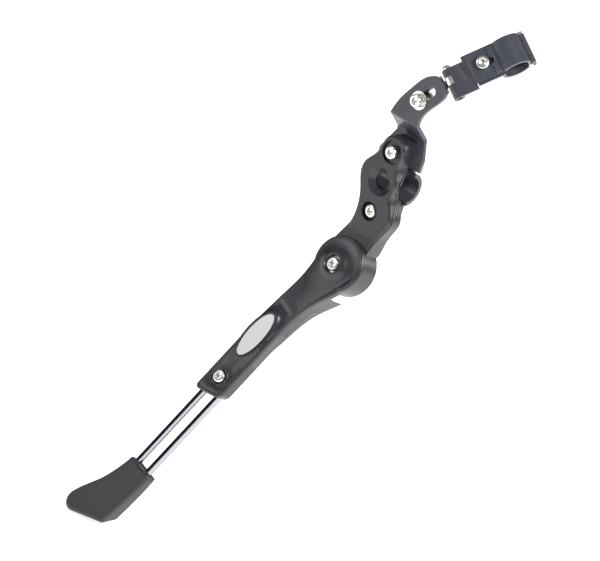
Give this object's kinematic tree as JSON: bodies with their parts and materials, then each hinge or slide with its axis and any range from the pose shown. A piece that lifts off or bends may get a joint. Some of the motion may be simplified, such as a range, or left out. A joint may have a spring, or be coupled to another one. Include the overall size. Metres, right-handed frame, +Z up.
{
  "type": "bicycle kickstand",
  "caption": "Adjustable rear side kickstand for a bicycle: bracket clamp, swinging leg with telescopic rods and rubber foot, slotted upper arm and hinged seat-stay clamp.",
  "frame": {"origin": "on the axis of the chainstay tube, in the middle of the bracket clamp", "axes": "+X to the rear of the bicycle along the chainstay, +Y in to the wheel, +Z up; the stand's outer face looks towards -Y"},
  "size_m": [0.1762, 0.1451, 0.4544],
  "materials": {
    "cast_black": "satin black powder coat on die-cast aluminium",
    "sheet_black": "satin black paint on pressed steel",
    "zinc_steel": "bright zinc plate",
    "spring_steel": "polished spring and ball steel",
    "bushing_bronze": "sintered bronze",
    "chrome_rod": "mirror chrome",
    "foot_rubber": "matt moulded rubber",
    "badge_silver": "satin silver, no lettering"
  },
  "bodies": {
    "bracket": {"bracket_body": "cast_black", "upper_clamp_bolt": "zinc_steel", "lower_clamp_bolt": "zinc_steel", "pivot_bolt": "zinc_steel", "pivot_washer": "zinc_steel", "pivot_bushing": "bushing_bronze", "pivot_nut": "zinc_steel", "detent_balls": "spring_steel", "detent_springs": "spring_steel"},
    "back_plate": {"chainstay_back_plate": "sheet_black", "clamp_washers": "zinc_steel", "clamp_nuts": "zinc_steel"},
    "leg": {"leg_body": "cast_black", "leg_badge": "badge_silver", "rod_lock_bolt": "zinc_steel", "rod_pressure_plate": "zinc_steel", "rod_lock_nut": "zinc_steel"},
    "rods": {"front_rod": "chrome_rod", "rear_rod": "chrome_rod", "rod_tie_plate": "zinc_steel", "rubber_foot": "foot_rubber"},
    "arm": {"upper_arm": "sheet_black"},
    "slider": {"slot_bolt": "zinc_steel", "slot_washer": "zinc_steel", "slot_nut": "zinc_steel"},
    "link": {"link_plate": "zinc_steel"},
    "stay_clamp": {"front_jaw": "sheet_black", "hinge_pin": "zinc_steel", "jaw_bolt": "zinc_steel", "hook_pin": "zinc_steel"},
    "rear_jaw": {"rear_jaw": "sheet_black"},
    "jaw_nut": {"jaw_nut": "zinc_steel"}
  },
  "joints": [
    {"name": "leg_swing", "type": "hinge", "parent": "bracket", "child": "leg", "pos_m": [-0.004, -0.0235, -0.07], "axis": [0, -0.9511, 0.309], "range_deg": [0, 105]},
    {"name": "rod_slide", "type": "slide", "parent": "leg", "child": "rods", "axis": [-0.2756, -0.297, -0.9142], "range_m": [-0.029, 0.02]},
    {"name": "back_plate_slide", "type": "slide", "parent": "bracket", "child": "back_plate", "axis": [0, 1, 0], "range_m": [0, 0.006]},
    {"name": "arm_swivel", "type": "hinge", "parent": "bracket", "child": "arm", "pos_m": [0.002, -0.015, 0.0246], "axis": [0, -1, 0], "range_deg": [-6, 6]},
    {"name": "slot_slide", "type": "slide", "parent": "arm", "child": "slider", "axis": [0.5878, 0, 0.809], "range_m": [0, 0.0125]},
    {"name": "link_swivel", "type": "hinge", "parent": "slider", "child": "link", "pos_m": [0.0105, -0.015, 0.0708], "axis": [0, -1, 0], "range_deg": [-15, 15]},
    {"name": "clamp_hinge", "type": "hinge", "parent": "link", "child": "stay_clamp", "pos_m": [0.0286, -0.011, 0.0956], "axis": [0.8192, 0, -0.5736], "range_deg": [-50, 60]},
    {"name": "rear_jaw_open", "type": "hinge", "parent": "stay_clamp", "child": "rear_jaw", "pos_m": [0.05228, 0.03082, 0.12941], "axis": [0.8192, 0, -0.5736], "range_deg": [0, 8]},
    {"name": "jaw_nut_slide", "type": "slide", "parent": "stay_clamp", "child": "jaw_nut", "axis": [-0.3687, 0.766, -0.5265], "range_m": [0, 0.0056]}
  ],
  "couplings": [
    {"joint": "jaw_nut_slide", "follows": "rear_jaw_open", "m_per_rad": 0.0394}
  ]
}
